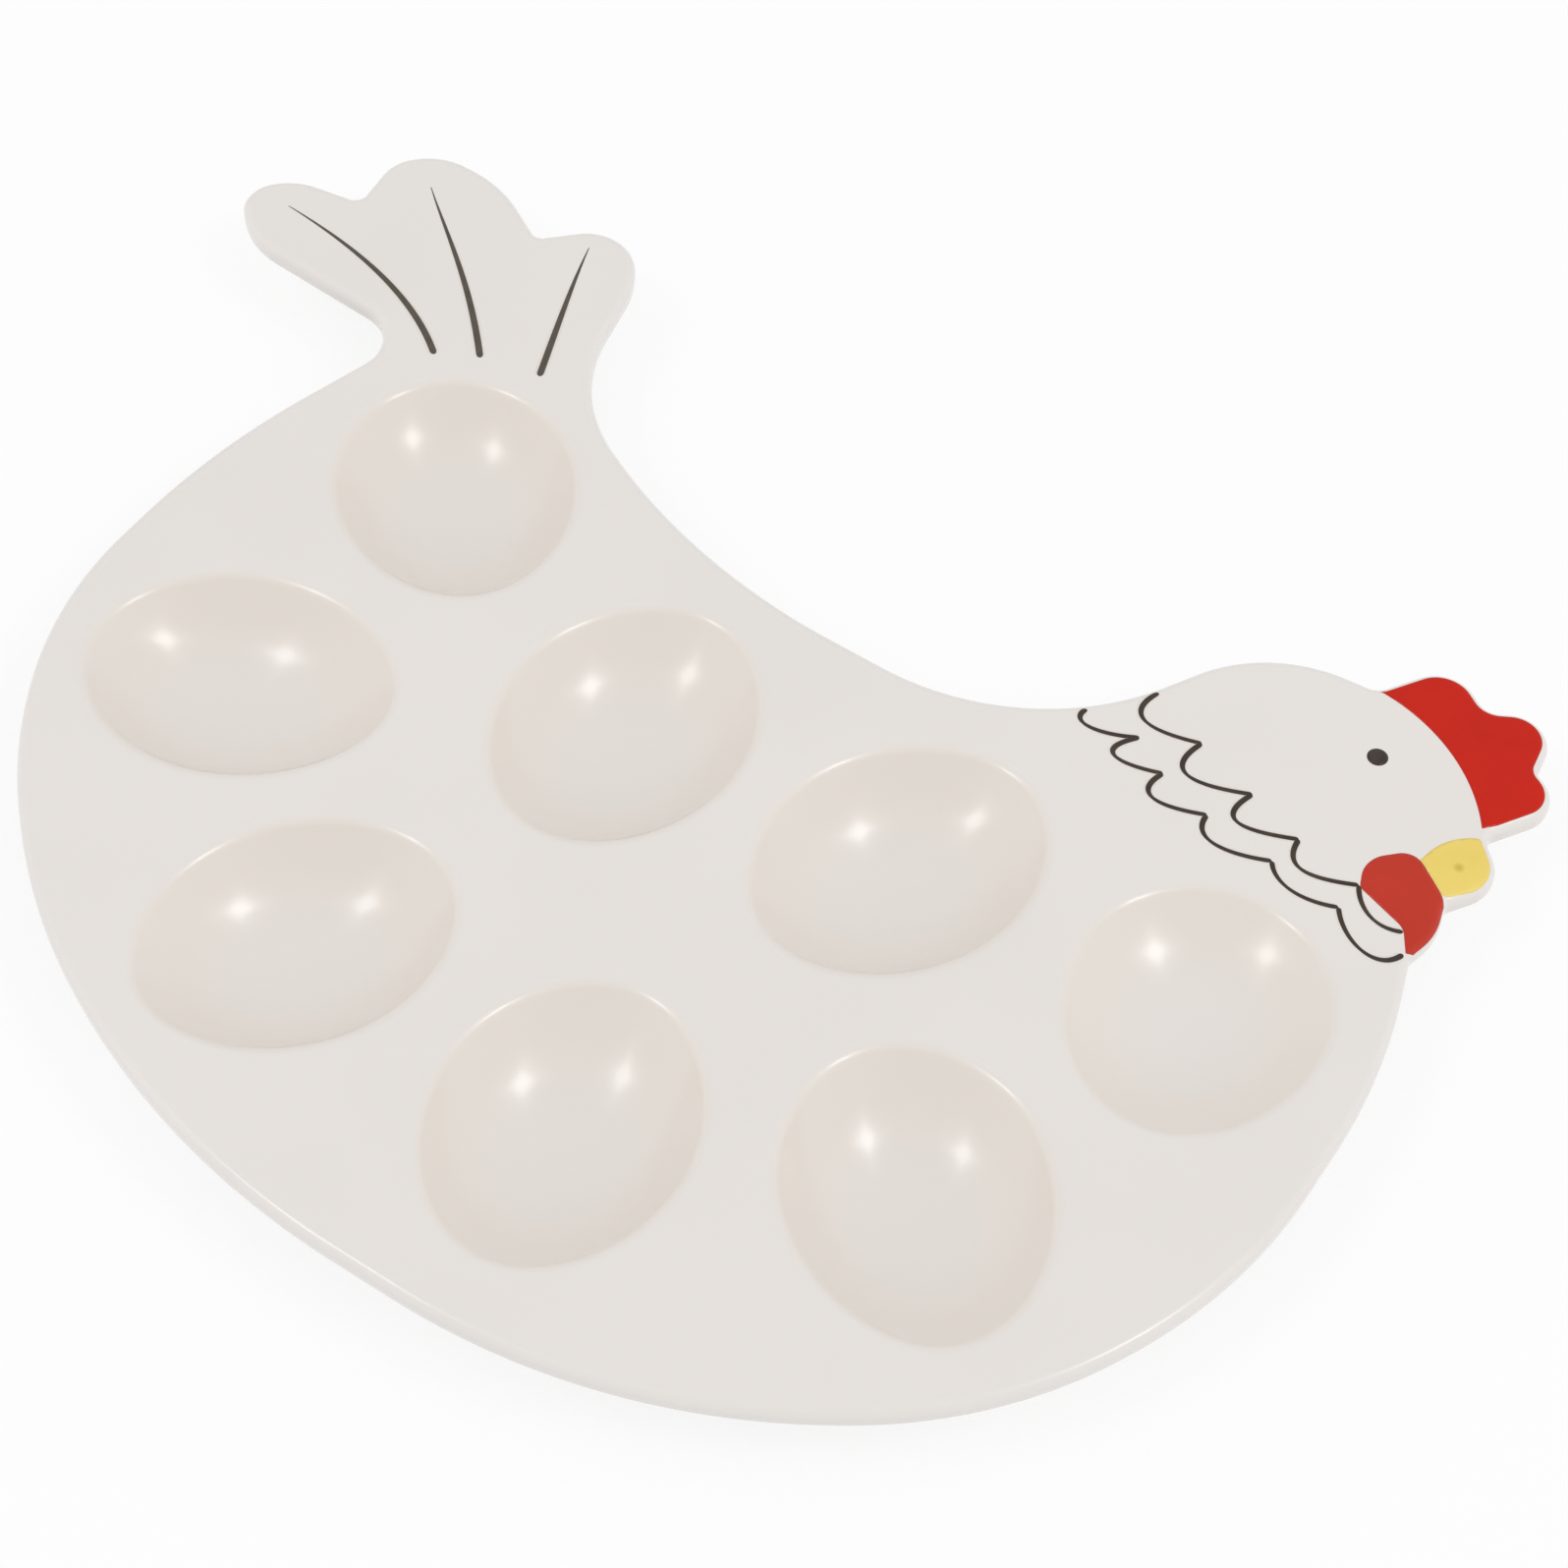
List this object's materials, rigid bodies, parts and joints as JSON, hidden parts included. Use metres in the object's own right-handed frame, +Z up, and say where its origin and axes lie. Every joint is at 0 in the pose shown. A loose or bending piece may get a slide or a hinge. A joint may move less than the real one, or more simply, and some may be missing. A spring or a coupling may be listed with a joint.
{
  "type": "deviled egg platter",
  "caption": "Hen-shaped glazed ceramic platter with egg-shaped wells for halved eggs; its comb, wattle, beak, eye, collar and tail lines are colours fired onto the deck.",
  "frame": {"origin": "bottom centre of the bounding box, on the surface that the cups stand on", "axes": "+X from the tail to the breast, +Y from the belly to the comb, +Z up out of the deck"},
  "size_m": [0.31, 0.2329, 0.018],
  "materials": {
    "white_glaze": "clear gloss glaze over a white body",
    "red_colour": "gloss, brushed under the glaze",
    "yellow_colour": "gloss, brushed under the glaze",
    "black_colour": "gloss, brushed under the glaze"
  },
  "bodies": {
    "root": {"platter": "white_glaze", "comb": "red_colour", "wattle": "red_colour", "beak": "yellow_colour", "eye": "black_colour", "upper_collar": "black_colour", "lower_collar": "black_colour", "left_tail_stroke": "black_colour", "middle_tail_stroke": "black_colour", "right_tail_stroke": "black_colour"}
  },
  "joints": []
}
